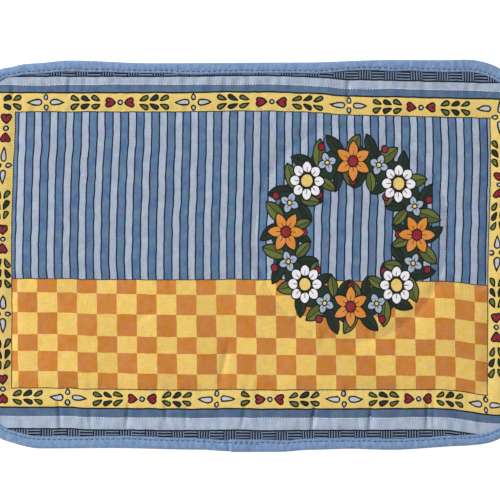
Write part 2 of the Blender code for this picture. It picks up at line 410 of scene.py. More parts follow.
# Specks in the backing, by the noise's range that they come from, and how strong they are.
FLECK_SCALE = 0.45
FLECK_RANGE = (0.72, 0.8)
FLECK_STRENGTH = 0.35

# The stage: the floor and the lamp in metres, and the camera in millimetres from the mat's middle.
FLOOR_HALF = 30.0
FLOOR_DROP = 0.0002
LAMP_PLACE = (-3.6, 1.4, 2.9)
CAMERA_PLACE = (-1.18, 4.72, 932.0)


def linear(hex_colour):
    """An sRGB hex colour as linear red, green and blue, with full alpha."""
    shares = [int(hex_colour[start : start + 2], 16) / 255 for start in (1, 3, 5)]
    straight = [s / 12.92 if s <= 0.04045 else ((s + 0.055) / 1.055) ** 2.4 for s in shares]
    return (*straight, 1.0)


dye = partial(FloatVectorProperty, subtype="COLOR", size=4, min=0.0, max=1.0)
length = partial(FloatProperty, subtype="DISTANCE", unit="LENGTH", precision=5, min=0.0)


class PlacematPrint(bpy.types.PropertyGroup):
    """Colours of the printed cotton face."""

    ink: dye(name="Ink", description="Outlines of the print", default=linear("#0E0F16"))
    light_blue: dye(name="Light Blue", description="Light stripes", default=linear("#A3B0C4"))
    blue: dye(name="Blue", description="Blue stripes", default=linear("#587598"))
    band: dye(name="Band", description="Dark band", default=linear("#536B88"))
    yellow: dye(name="Yellow", description="Ground of the border", default=linear("#E4C671"))
    check_yellow: dye(name="Check Yellow", description="Light checks", default=linear("#E7C167"))
    orange: dye(name="Orange", description="Dark checks", default=linear("#C77E37"))
    red: dye(name="Red", description="Hearts and berries", default=linear("#8E1D2B"))
    leaf: dye(name="Leaf Green", description="Light leaves", default=linear("#646E31"))
    dark_leaf: dye(name="Dark Green", description="Dark leaves", default=linear("#1C3020"))
    petal: dye(name="Petal", description="Petals of the border", default=linear("#C0BFC6"))
    white: dye(name="White", description="White flowers", default=linear("#ECE8EC"))
    flower: dye(name="Flower Orange", description="Orange flowers", default=linear("#D88A3A"))
    strip: dye(name="Strip", description="Ground of the outer strip", default=linear("#7889A4"))
    navy: dye(name="Navy", description="Lines of the outer strip", default=linear("#060C1F"))


class PlacematSewing(bpy.types.PropertyGroup):
    """Sizes and colours of the sewing."""

    binding: dye(name="Binding", description="Folded strip", default=linear("#7893B8"))
    # The blue thread is the binding's own blue, dyed darker here as painted shade of the needle
    # holes at the stitches' ends.
    binding_thread_and_hole_shade: dye(name="Blue Thread", description="Its stitches", default=linear("#35507F"))
    quilting_thread: dye(name="White Thread", description="Outer row", default=linear("#E6E6EA"))
    backing: dye(name="Backing", description="Plain underside", default=linear("#E9E6DC"))
    cell: length(name="Cloth Cell", description="Faces of the print", default=0.00128)
    backing_cell: length(name="Backing Cell", description="Faces of the underside", default=0.0025)
    binding_cell: length(name="Binding Cell", description="Faces of the strip", default=0.00095)
    ripple: length(name="Ripple", description="Relief beside the quilting", default=0.00032)
    gather: length(name="Gather", description="Relief beside the binding", default=0.0012)
    # Threads of real quilting cotton are about 0.4 mm apart. They are drawn coarser, because a
    # weave that fine would only shimmer.
    weave: length(name="Weave", description="Distance between drawn threads", default=0.0009)
    quilt_pitch: length(name="Quilting Pitch", description="Stitch to stitch", default=0.00226)
    quilt_stitch: length(name="Quilting Stitch", description="Thread that shows", default=0.0014)
    edge_pitch: length(name="Binding Pitch", description="Stitch to stitch", default=0.0042)
    edge_stitch: length(name="Binding Stitch", description="Thread that shows", default=0.0023)
    thread: length(name="Thread", description="Width of the white thread", default=0.0007)
    edge_thread: length(name="Binding Thread", description="Its width", default=0.0008)
    clear_thread: length(name="Clear Thread", description="Its width", default=0.0003)
    bobbin_thread: length(name="Bobbin Thread", description="Its width", default=0.0005)


def smooth_step(low, high, value):
    """An eased share, from 0 at low to 1 at high."""
    share = min(max((value - low) / (high - low), 0.0), 1.0)
    return share * share * (3 - 2 * share)


def from_table(rows, place):
    """The value at a place, eased from each row of the table to the next."""
    for (low, before), (high, after) in zip(rows, rows[1:]):
        if place <= high:
            return before + (after - before) * smooth_step(low, high, place)
    return rows[-1][1]


def edge_at(along, upper):
    """Outline point and outward direction.

    along starts at the middle of the top or bottom side and is below zero on the left. upper is
    1 for the top half and -1 for the bottom half.
    """
    run = abs(along)
    turned = min(max((run - STRAIGHT_X) / CORNER_RADIUS, 0.0), math.pi / 2)
    out_x = math.copysign(math.sin(turned), along)
    out_y = math.copysign(math.cos(turned), upper)
    foot_x = math.copysign(min(run, STRAIGHT_X), along)
    foot_y = math.copysign(STRAIGHT_Y - max(0.0, run - STRAIGHT_X - CORNER_LENGTH), upper)
    x = foot_x + CORNER_RADIUS * out_x
    y = foot_y + CORNER_RADIUS * out_y
    across = from_table(WAVES_TOP if upper > 0 else WAVES_BOTTOM, x)
    down = from_table(WAVES_RIGHT if x > 0 else WAVES_LEFT, y)
    wave = down + (across - down) * smooth_step(0.0, math.pi / 2, math.pi / 2 - turned)
    return Vector((x + wave * out_x, y + wave * out_y)), Vector((out_x, out_y))


def along_of(core_x, core_y):
    """Place along the outline that belongs to a point on the rim of the core."""
    if abs(abs(core_x) - CORE_X) < 1e-3:
        reach = CORE_TOP if core_y > 0 else -CORE_BOTTOM
        past = max(0.0, (abs(core_y) - STRAIGHT_Y) / (reach - STRAIGHT_Y))
        run = QUARTER_LENGTH - min(abs(core_y), STRAIGHT_Y) - past * CORNER_LENGTH / 2
    else:
        past = max(0.0, (abs(core_x) - STRAIGHT_X) / (CORE_X - STRAIGHT_X))
        run = min(abs(core_x), STRAIGHT_X) + past * CORNER_LENGTH / 2
    return math.copysign(run, core_x), math.copysign(1.0, core_y)


def rectangle_line(x, y, out, low_extra=0.0):
    """Distance to the line round the drawing's field, and the place along its nearest side."""
    past_x = abs(x) - FIELD_X - out
    past_y = max(y, -y - low_extra) - FIELD_Y - out
    corner = past_x > 0 and past_y > 0
    distance = math.hypot(past_x, past_y) if corner else abs(max(past_x, past_y))
    return distance, (y if past_x > past_y else x)


def nearest_line(x, y):
    """Distance to the nearest quilting line, and the place along it."""
    drawn_x, drawn_y = on_print(x, y)
    from_x = drawn_x - GARLAND_X
    from_y = drawn_y - GARLAND_Y
    spread = math.hypot(from_x / RING_HALF_LENGTH, from_y / RING_HALF_WIDTH)
    wreath = (spread - 1) * (RING_HALF_LENGTH + RING_HALF_WIDTH) / 2
    lines = [
        rectangle_line(drawn_x, drawn_y, BAND_LINE, LOW_BAND_EXTRA),
        rectangle_line(drawn_x, drawn_y, FRAME_LINE),
        (abs(wreath), math.atan2(from_y, from_x) * RING_HALF_WIDTH),
    ]
    if wreath > 0 and abs(drawn_x) < FIELD_X:
        lines.append((abs(drawn_y - FIELD_SPLIT), drawn_x))
    return min(lines)


def pucker_depth(x, y):
    """How far the gathers near the binding draw the panel down."""
    depth = 0.0
    for middle_x, middle_y, half_length, half_width, slant, deepest in PUCKERS:
        angle = math.radians(slant)
        across = (x - middle_x) * math.cos(angle) - (y - middle_y) * math.sin(angle)
        along = (x - middle_x) * math.sin(angle) + (y - middle_y) * math.cos(angle)
        fall = (across / half_width) ** 2 + (along / half_length) ** 2
        depth += deepest * math.exp(-fall)
    return depth


def crease_depth(x, y):
    """How far the sharp folds between the quilting and the binding sink into the panel."""
    depth = 0.0
    for top_x, top_y, low_x, low_y, width, deepest in CREASES:
        run = math.hypot(low_x - top_x, low_y - top_y)
        along = ((x - top_x) * (low_x - top_x) + (y - top_y) * (low_y - top_y)) / run
        across = ((x - top_x) * (low_y - top_y) - (y - top_y) * (low_x - top_x)) / run
        ends = smooth_step(0.0, run * 0.3, along) * smooth_step(0.0, run * 0.3, run - along)
        depth += deepest * ends * math.exp(-((across / width) ** 2))
    return depth


def face_height(x, y, inset, along, sewing):
    """Height of the printed face: swollen between stitches, rippled beside them and the binding."""
    distance, place = nearest_line(x, y)
    swell = 1 - 1 / (1 + (distance / STITCH_REACH) ** 2)
    uneven = 1 + UNEVEN_SHARE * math.sin(x / UNEVEN_X) * math.sin(y / UNEVEN_Y)
    height = STITCHED_TOP + (SWOLLEN_TOP - STITCHED_TOP) * swell * uneven
    height -= pucker_depth(x, y) + crease_depth(x, y)
    beside = math.exp(-((distance / RIPPLE_REACH) ** 2))
    ripple = noise.noise((place / RIPPLE_CELL, distance / RIPPLE_REACH / 2, x * y / RIPPLE_CHANGE))
    soft = noise.noise((x / SOFT_CELL, y / SOFT_CELL, SOFT_LAYER))
    height += sewing.ripple / MM * (beside * ripple * 2 + soft)
    gather = noise.noise((along / GATHER_CELL, inset / GATHER_LENGTH, y / GATHER_CHANGE))
    near_edge = math.exp(-(((inset - UNDER_BINDING_TOP) / GATHER_REACH) ** 2))
    height += sewing.gather / MM * gather * near_edge
    free = smooth_step(UNDER_BINDING_TOP, UNDER_BINDING_TOP + PRESSED_REACH, inset)
    foot = smooth_step(*GATHER_FOOT, inset) * PRESSED_GATHER
    pressed = PRESSED_TOP + sewing.gather / MM * gather * foot
    return pressed + (height - pressed) * free


def backing_height(x, y, *_):
    """Height of the underside: flat on the table, and tucked in by the quilting thread."""
    distance = nearest_line(x, y)[0]
    return TUCK_DEPTH / (1 + (distance / TUCK_REACH) ** 2)


def on_print(x, y):
    """Place in the printed drawing, in millimetres, of a place on the panel."""
    share_up = smooth_step(-FIELD_Y, FIELD_Y, y + PRINT_SHIFT_Y)
    share_right = smooth_step(-FIELD_X, FIELD_X, x)
    low = from_table(DROP_BOTTOM, x)
    left = from_table(SLIP_LEFT, y)
    drop = low + (from_table(DROP_TOP, x) - low) * share_up
    slip = left + (from_table(SLIP_RIGHT, y) - left) * share_right
    return x + PRINT_SHIFT_X - slip, y + PRINT_SHIFT_Y + drop


def off_print(drawn_x, drawn_y):
    """Place on the panel of a place in the printed drawing, neared step by step."""
    x, y = drawn_x, drawn_y
    for _ in range(PRINT_STEPS):
        reached_x, reached_y = on_print(x, y)
        x += drawn_x - reached_x
        y += drawn_y - reached_y
    return Vector((x, y))


def straight_between(rows, place):
    """The value at a place, straight between the table's rows and straight on past its ends."""
    pairs = list(zip(rows, rows[1:]))
    (low, before), (high, after) = next((pair for pair in pairs if place <= pair[1][0]), pairs[-1])
    return before + (after - before) * (place - low) / (high - low)


def past_strip(drawn_x, drawn_y):
    """How far out from the inner edge of the basket strip a place of the drawing lies."""
    return max(abs(drawn_x) - STRIP_X, abs(drawn_y - STRIP_MIDDLE) - STRIP_Y)


def on_edging(middle, x, y):
    """Place along and across the border's pattern, or the strip's, for a face with this middle."""
    middle_x, middle_y = on_print(*middle)
    drawn_x, drawn_y = on_print(x, y)
    if max(abs(middle_x) - FIELD_X, abs(middle_y) - FIELD_Y) > MID_BAND:
        rows = STRIP_TOP if middle_y > 0 else STRIP_BOTTOM
        on_side = abs(middle_x) > STRIP_X
        along = drawn_y if on_side else straight_between(rows, x + PRINT_SHIFT_X)
        return along, past_strip(drawn_x, drawn_y)
    for left, right, bottom, top, runs_down, middle_line, rows in MOTIF_STRETCHES:
        if left <= middle_x <= right and bottom <= middle_y <= top:
            if runs_down:
                return straight_between(rows, y + PRINT_SHIFT_Y), abs(drawn_x) - middle_line
            return straight_between(rows, x + PRINT_SHIFT_X), abs(drawn_y) - middle_line
    raise RuntimeError(f"no stretch of the border holds {middle_x:.1f}, {middle_y:.1f}")


def to_scene(x, y, z):
    """A point in metres, from the middle of the mat's box."""
    return (x - MIDDLE_X) * MM, (y - MIDDLE_Y) * MM, z * MM


def from_scene(point):
    """A point's place in millimetres on the mat's plan."""
    return point[0] / MM + MIDDLE_X, point[1] / MM + MIDDLE_Y


def grid_index(value, cells):
    """Column or row of a point of a grid that spans -1 to 1."""
    return round((value + 1) / 2 * cells)


def margin_place(core, share, height_at):
    """A place between the core's rim and the foot of the binding."""
    along, upper = along_of(*core)
    edge, out = edge_at(along, upper)
    place = Vector(core).lerp(edge - out * PANEL_FOOT, share)
    return (*place, height_at(*place, (place - edge).length, along))


def edge_place(core, inset, height):
    """A place at a set distance in from the outline, at a set height."""
    edge, out = edge_at(*along_of(*core))
    return (*(edge - out * inset), height)


def grow_rim(bm, rim_layer, ring_place):
    """Adds a ring of faces round the mesh's open rim."""
    rim_edges = [edge for edge in bm.edges if edge.is_boundary]
    grown = bmesh.ops.extrude_edge_only(bm, edges=rim_edges)["geom"]
    for vert in grown:
        if isinstance(vert, bmesh.types.BMVert):
            vert.co = to_scene(*ring_place(vert[rim_layer][:2]))


def panel_side(height_at, edge_section, cell):
    """One side of the panel: an even core, a margin that turns into the outline, and its edge."""
    columns = round(2 * CORE_X / cell)
    rows = round((CORE_TOP - CORE_BOTTOM) / cell)
    bm = bmesh.new()
    rim_layer = bm.verts.layers.float_vector.new("rim")
    bmesh.ops.create_grid(bm, x_segments=columns, y_segments=rows, size=1.0)
    for vert in bm.verts:
        x = CORE_X * vert.co.x
        y = CORE_BOTTOM + (CORE_TOP - CORE_BOTTOM) * (vert.co.y + 1) / 2
        vert[rim_layer] = (x, y, 0.0)
        vert.co = to_scene(x, y, height_at(x, y, CORE_INSET, 0.0))
    rings = round(MARGIN_WIDTH / cell)
    for step in range(1, rings + 1):
        grow_rim(bm, rim_layer, partial(margin_place, share=step / rings, height_at=height_at))
    for inset, height in edge_section:
        grow_rim(bm, rim_layer, partial(edge_place, inset=inset, height=height))
    return bm


def mesh_of(name, bm):
    """Turns a bmesh into a mesh, and frees it."""
    mesh = bpy.data.meshes.new(name)
    bm.to_mesh(mesh)
    bm.free()
    return mesh


def add_object(name, data):
    """Adds an object to the scene."""
    made = bpy.data.objects.new(name, data)
    bpy.context.scene.collection.objects.link(made)
    return made


def finished_piece(name, bm, materials, node):
    """Turns a bmesh into a smooth piece that rides on the mat, in place of its solid if any."""
    bmesh.ops.recalc_face_normals(bm, faces=bm.faces)
    mesh = mesh_of(name, bm)
    mesh.shade_smooth()
    for material in materials:
        mesh.materials.append(material)
    piece = add_object(name, mesh)
    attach(piece, "root")
    if node:
        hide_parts(node)


def add_node(tree, kind, *inputs, named=None, **settings):
    """Adds a node with its settings, and fills or links its open inputs in order or by name."""
    made = tree.nodes.new("ShaderNode" + kind)
    for setting, value in settings.items():
        setattr(made, setting, value)
    sockets = [socket for socket in made.inputs if socket.enabled]
    pairs = list(zip(sockets, inputs))
    pairs += [(made.inputs[name], value) for name, value in (named or {}).items()]
    for socket, value in pairs:
        if isinstance(value, bpy.types.Node):
            value = next(output for output in value.outputs if output.enabled)
        if isinstance(value, bpy.types.NodeSocket):
            tree.links.new(value, socket)
        elif value is not None:
            socket.default_value = value
    return made


def fill_ramp(ramp, stops, low, high):
    """Sets a ramp's colours, each from its place on, where the ramp runs from low to high."""
    ramp.interpolation = "CONSTANT"
    elements = ramp.elements
    while len(elements) < len(stops):
        elements.new(1.0)
    for element, (place, colour) in zip(elements, stops):
        element.position = (place - low) / (high - low)
        element.color = colour


def new_material(name):
    """An empty node material, with the call that adds its nodes."""
    material = bpy.data.materials.new(name)
    material.use_nodes = True
    material.node_tree.nodes.clear()
    return material, partial(add_node, material.node_tree)


def drawn_in(node, under, distance, fill, ink, half=INK_HALF):
    """Paints a shape with its ink outline, of this half width, over what lies under it."""
    inside = node("Math", distance, -half, operation="LESS_THAN")
    outline = node("Math", distance, half, operation="LESS_THAN")
    shape = node("Mix", inside, ink, fill, data_type="RGBA")
    return node("Mix", outline, under, shape, data_type="RGBA")


def moved(node, place, x, y, degrees=0.0):
    """The place seen from a frame at x, y that is turned by an angle."""
    turn = (0.0, 0.0, math.radians(degrees))
    return node("Mapping", place, (x, y, 0.0), turn, vector_type="TEXTURE")


def disc(node, place, radius):
    """Distance from a circle round the frame's origin."""
    reach = node("VectorMath", place, operation="LENGTH").outputs["Value"]
    return node("Math", reach, radius, operation="SUBTRACT")


def teardrop(node, place, radius, length_out):
    """Distance from a drop that is round at the frame's origin, with its tip on +X."""
    leaf, parts = pointed_leaf(node, place, length_out, radius)
    behind = node("Math", parts.outputs["X"], -1.0, operation="MULTIPLY")
    point = node("Math", leaf, behind, operation="MAXIMUM")
    return node("Math", disc(node, place, radius), point, operation="MINIMUM")


def drop_at(node, frame_in, x, y, degrees, radius, length_out):
    """Distance from a drop that is round at x, y in this frame, with its tip turned by an angle."""
    return teardrop(node, moved(node, frame_in, x, y, degrees), radius, length_out)


def pointed_leaf(node, place, half_length, half_width):
    """Distance from a leaf with two tips on the frame's X axis, and the place split in two."""
    middle = (half_length**2 - half_width**2) / (2 * half_width)
    parts = node("SeparateXYZ", place)
    side = node("Math", parts.outputs["Y"], operation="ABSOLUTE")
    raised = node("Math", side, middle, operation="ADD")
    bowed = node("CombineXYZ", parts.outputs["X"], raised)
    return disc(node, bowed, middle + half_width), parts


def polar(node, place):
    """Angle and distance round the frame's origin."""
    parts = node("SeparateXYZ", place)
    angle = node("Math", parts.outputs["Y"], parts.outputs["X"], operation="ARCTAN2")
    return angle, node("VectorMath", place, operation="LENGTH").outputs["Value"]


def spoke(node, around, count, turn, reach):
    """The frame of the nearest of count places round a ring, with +X outwards."""
    angle, distance = around
    half = math.pi / count
    turned = node("Math", angle, math.radians(turn), operation="SUBTRACT")
    folded = node("Math", turned, half, -half, operation="WRAP")
    out = node("Math", distance, node("Math", folded, operation="COSINE"), operation="MULTIPLY")
    side = node("Math", distance, node("Math", folded, operation="SINE"), operation="MULTIPLY")
    return node("CombineXYZ", node("Math", out, reach, operation="SUBTRACT"), side)


def stripes(node, place, wave, dyes):
    """Light and darker blue stripes with ink lines, which sway together."""
    swayed = node("Math", place.outputs["X"], wave, operation="ADD")
    counted = node(
        "Math", swayed, 1 / STRIPE_PERIOD, -STRIPE_START / STRIPE_PERIOD, operation="MULTIPLY_ADD"
    )
    ramp = node("ValToRGB", node("Math", counted, operation="FRACT"))
    stops = (
        (0.0, dyes.ink),
        (INK_HALF, dyes.light_blue),
        (STRIPE_LIGHT - INK_HALF, dyes.ink),
        (STRIPE_LIGHT + INK_HALF, dyes.blue),
        (STRIPE_PERIOD - INK_HALF, dyes.ink),
    )
    fill_ramp(ramp.color_ramp, stops, 0.0, STRIPE_PERIOD)
    return ramp.outputs["Color"]


def checks(node, place, dyes):
    """Yellow and orange checks in rows of uneven height, each of its own slight tone."""
    x, y = place.outputs["X"], place.outputs["Y"]
    leant = node("Math", y, CHECK_LEAN, x, operation="MULTIPLY_ADD")
    from_first = node("Math", leant, CHECK_X, operation="SUBTRACT")
    counted = node("Math", from_first, CHECK_WIDTH, operation="DIVIDE")
    column = node("Math", counted, operation="FLOOR")
    odd_column = node("Math", column, 2.0, operation="FLOORED_MODULO")
    from_start = node("Math", x, CHECK_X, operation="SUBTRACT")
    fallen = node("Math", from_start, CHECK_FALL, y, operation="MULTIPLY_ADD")
    ramp = node("ValToRGB", node("MapRange", fallen, CHECK_ROWS[0], 0.0, 0.0, 1.0))
    # A row's red says whether it is odd, and its green tells it from the others.
    rows = [
        (start, (number % 2, number / ROW_SHADES, 0.0, 1.0))
        for number, start in enumerate(CHECK_ROWS)
    ]
    fill_ramp(ramp.color_ramp, rows, CHECK_ROWS[0], 0.0)
    row = node("SeparateColor", ramp.outputs["Color"])
    same = node("Math", odd_column, row.outputs["Red"], 0.5, operation="COMPARE")
    colours = node("Mix", same, dyes.check_yellow, dyes.orange, data_type="RGBA")
    cell = node("CombineXYZ", column, row.outputs["Green"])
    tone = node("TexWhiteNoise", cell, noise_dimensions="2D").outputs["Value"]
    value = node("MapRange", tone, 0.0, 1.0, *CHECK_TONES)
    return node("HueSaturation", named={"Value": value, "Color": colours})


def basket_strip(node, place, dyes):
    """Blocks of upright and level lines by turns, like basket weave, inside one long line."""
    along, out = place.outputs["X"], place.outputs["Y"]
    blocks = node("Math", along, 1 / STRIP_PERIOD, operation="MULTIPLY")
    block = node("Math", blocks, operation="FRACT")
    level = node("Math", block, 0.5, operation="GREATER_THAN")
    upright_lines = node("Math", along, 1 / UPRIGHT_PITCH, operation="MULTIPLY")
    level_lines = node("Math", out, 1 / LEVEL_PITCH, operation="MULTIPLY")
    lines = node("Math", node("Mix", level, upright_lines, level_lines), operation="FRACT")
    inked = node("Math", lines, STRIP_INK_SHARE, operation="LESS_THAN")
    on_edge = node("Math", out, STRIP_EDGE_LINE, operation="LESS_THAN")
    line = node("Math", inked, on_edge, operation="MAXIMUM")
    return node("Mix", line, dyes.strip, dyes.navy, data_type="RGBA")


def border_motifs(node, place, dyes):
    """Crosses of petals, pairs of leaves, and hearts that meet at a dot, on yellow."""
    across = node("Math", place.outputs["Y"], operation="ABSOLUTE")
    from_cross = node("Math", place.outputs["X"], MOTIF_HALF, operation="PINGPONG")
    from_dot = node("Math", MOTIF_HALF, from_cross, operation="SUBTRACT")
    cross_frame = node("CombineXYZ", from_cross, across)
    dot_frame = node("CombineXYZ", from_dot, across)

    petal = drop_at(node, cross_frame, *PETAL)
    side_petal = drop_at(node, cross_frame, *SIDE_PETAL)
    dot = disc(node, dot_frame, DOT_RADIUS)
    petals = node("Math", petal, side_petal, operation="MINIMUM")
    pale = node("Math", petals, dot, operation="MINIMUM")
    heart = drop_at(node, dot_frame, *HEART)

    counted = node(
        "Math", from_dot, 1 / LEAF_CELL, -LEAF_START / LEAF_CELL, operation="MULTIPLY_ADD"
    )
    share = node("Math", counted, operation="FRACT")
    in_cell = node("Math", share, LEAF_CELL, operation="MULTIPLY")
    leaf = drop_at(node, node("CombineXYZ", in_cell, across), *LEAF)
    # The middle one of the three cells has a dark leaf, and the other two a light one.
    in_middle = node("Math", counted, 1.5, 0.5, operation="COMPARE")
    in_leaves = node("Math", counted, 1.5, 1.5, operation="COMPARE")
    no_leaf = node("Math", 1.0, in_leaves, operation="SUBTRACT")
    leaf = node("Math", no_leaf, NO_LEAF_THERE, leaf, operation="MULTIPLY_ADD")
    green = node("Mix", in_middle, dyes.leaf, dyes.dark_leaf, data_type="RGBA")

    painted = drawn_in(node, dyes.yellow, pale, dyes.petal, dyes.ink, MOTIF_INK_HALF)
    painted = drawn_in(node, painted, heart, dyes.red, dyes.ink, MOTIF_INK_HALF)
    return drawn_in(node, painted, leaf, green, dyes.ink, MOTIF_INK_HALF)


def flower_ring(node, around, under, dyes, flowers):
    """Round flowers spaced on the garland, from a row of the table of flowers."""
    count, turn, reach, petal_count, petal_reach, petal_radius, tip, dye_name = flowers[:8]
    middle_radius, middle_dye = flowers[8:]
    frame_in = spoke(node, around, count, turn, reach)
    petal_frame = spoke(node, polar(node, frame_in), petal_count, 0.0, petal_reach)
    petal = teardrop(node, petal_frame, petal_radius, tip)
    parts = node("SeparateXYZ", petal_frame)
    thin = node("Math", parts.outputs["Y"], 0.0, PETAL_CREASE_HALF, operation="COMPARE")
    crease_end = petal_radius * PETAL_CREASE_END
    inward = node("Math", parts.outputs["X"], crease_end, operation="LESS_THAN")
    crease = node("Math", thin, inward, operation="MULTIPLY")
    creased = node("Mix", crease, getattr(dyes, dye_name), dyes.ink, data_type="RGBA")
    painted = drawn_in(node, under, petal, creased, dyes.ink)
    middle = disc(node, frame_in, middle_radius)
    return drawn_in(node, painted, middle, getattr(dyes, middle_dye), dyes.ink)


def garland(node, place, under, dyes):
    """A round garland of leaves, berries and simple flowers, over the field."""
    corner = (GARLAND_X, GARLAND_Y, 0.0)
    squeeze = (GARLAND_SQUEEZE, 1.0, 1.0)
    around = polar(node, node("Mapping", place, corner, None, squeeze, vector_type="TEXTURE"))
    waves = node("Math", around[0], float(SCALLOPS), operation="MULTIPLY")
    scallops = node("Math", waves, operation="SINE")
    off_stem = node("Math", around[1], BED_REACH, operation="SUBTRACT")
    from_stem = node("Math", off_stem, operation="ABSOLUTE")
    bed_edge = node("Math", scallops, -SCALLOP_DEPTH, from_stem, operation="MULTIPLY_ADD")
    bed = node("Math", bed_edge, BED_HALF, operation="SUBTRACT")
    painted = drawn_in(node, under, bed, dyes.dark_leaf, dyes.ink)
    for count, turn, reach, tilt, half_length, half_width, dye_name in GARLAND_LEAVES:
        green = getattr(dyes, dye_name)
        frame_in = moved(node, spoke(node, around, count, turn, reach), 0.0, 0.0, tilt)
        leaf, parts = pointed_leaf(node, frame_in, half_length, half_width)
        side = parts.outputs["Y"]
        rib = node("Math", side, 0.0, RIB_HALF, operation="COMPARE")
        shaded = node("HueSaturation", named={"Value": LEAF_SHADE, "Color": green})
        lit = node("Math", side, 0.0, operation="GREATER_THAN")
        halves = node("Mix", lit, shaded, green, data_type="RGBA")
        veined = node("Mix", rib, halves, dyes.ink, data_type="RGBA")
        painted = drawn_in(node, painted, leaf, veined, dyes.ink)
    for count, turn, reach, radius in BERRIES:
        berry = disc(node, spoke(node, around, count, turn, reach), radius)
        painted = drawn_in(node, painted, berry, dyes.red, dyes.ink)
    for flowers in FLOWERS:
        painted = flower_ring(node, around, painted, dyes, flowers)
    return painted


def mottled(node, colour, mottle, swings):
    """The colour with the soft unevenness of dye in cloth."""
    tints = node("SeparateColor", mottle)
    channels = (tints.outputs[name] for name in ("Red", "Green", "Blue"))
    shifts = [
        node("MapRange", channel, *NOISE_RANGE, middle - swing, middle + swing)
        for channel, middle, swing in zip(channels, (0.5, 1.0, 1.0), swings)
    ]
    return node("HueSaturation", *shifts, 1.0, colour)


def cloth_finish(node, colour, place, sewing):
    """Plain woven cotton: matte, with a slight nap, uneven threads, the weave's relief and painted
    shade in its hollows.
    """
    weave = sewing.weave / MM
    threads = node("VectorMath", place, (math.pi / weave,) * 3, operation="MULTIPLY")
    parts = node("SeparateXYZ", threads)
    warp = node("Math", parts.outputs["X"], operation="SINE")
    weft = node("Math", parts.outputs["Y"], operation="SINE")
    over = node("Math", warp, weft, operation="MULTIPLY")
    thick = []
    for across, along in ((1.0, SLUB_LENGTH), (SLUB_LENGTH, 1.0)):
        cell = (weave * across, weave * along, 1.0)
        stretched = node("Mapping", place, None, None, cell, vector_type="TEXTURE")
        thick.append(node("TexNoise", stretched, 1.0, 1.0, 0.5, noise_dimensions="2D"))
    slubs = node("Math", *thick, operation="ADD")
    # The uneven threads keep their own tone. The weave's share adds painted shade in its hollows
    # and painted light on its raised crossings.
    tone = node("Math", over, WEAVE_SHADE_SHARE, slubs, operation="MULTIPLY_ADD")
    value = node("MapRange", tone, *SLUB_RANGE, *SLUB_AND_WEAVE_SHADE_TONES)
    toned = node("HueSaturation", named={"Value": value, "Color": colour})
    relief = node("Math", slubs, SLUB_SHARE, over, operation="MULTIPLY_ADD")
    bump = node("Bump", named={"Strength": 0.6, "Distance": WEAVE_DEPTH, "Height": relief})
    # Cotton is matte, and its loose fibre ends brighten it a little at a low angle.
    surface = node(
        "BsdfPrincipled",
        named={
            "Base Color": toned,
            "Roughness": 0.92,
            "Specular IOR Level": 0.3,
            "Sheen Weight": 0.08,
            "Sheen Roughness": 0.6,
            "Normal": bump,
        },
    )
    node("OutputMaterial", surface)


